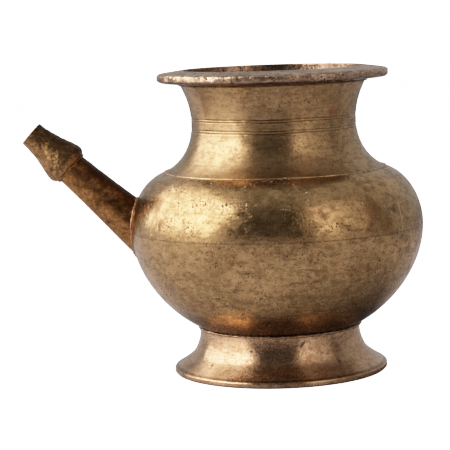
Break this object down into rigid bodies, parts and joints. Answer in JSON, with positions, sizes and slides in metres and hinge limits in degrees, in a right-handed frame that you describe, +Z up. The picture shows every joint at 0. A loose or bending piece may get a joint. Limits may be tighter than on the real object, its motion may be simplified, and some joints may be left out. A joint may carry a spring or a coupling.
{
  "type": "spouted brass water pot",
  "caption": "Round-bellied brass water pot on a flared foot, with a waisted neck, a wide flat rim and a raised side spout.",
  "frame": {"origin": "middle of the ring that the foot stands on", "axes": "+Z up along the pot's turning axis, -X towards the spout, +Y completes a right-handed frame"},
  "size_m": [0.2, 0.1472, 0.152],
  "materials": {
    "rim_brass": "aged cast brass, filed edge with nicks, brown patina in the hollows",
    "neck_brass": "aged brass, fine turning marks, incised line pairs",
    "belly_brass": "aged brass, rubbed olive-gold patina with casting pits and scratches",
    "foot_brass": "aged brass with a rosy cast, fine turning marks",
    "spout_brass": "dark brown patina above, rubbed gold below",
    "nozzle_brass": "mottled dark brown cast brass",
    "braze": "coppery braze, rough and darkened"
  },
  "bodies": {
    "root": {"rim_ring": "rim_brass", "rim_braze": "braze", "neck": "neck_brass", "shoulder_braze": "braze", "shoulder": "belly_brass", "belly_braze": "braze", "bowl": "belly_brass", "foot_braze": "braze", "foot": "foot_brass", "spout_root_braze": "braze", "spout_tube": "spout_brass", "nozzle_braze": "braze", "spout_nozzle": "nozzle_brass"}
  },
  "joints": []
}
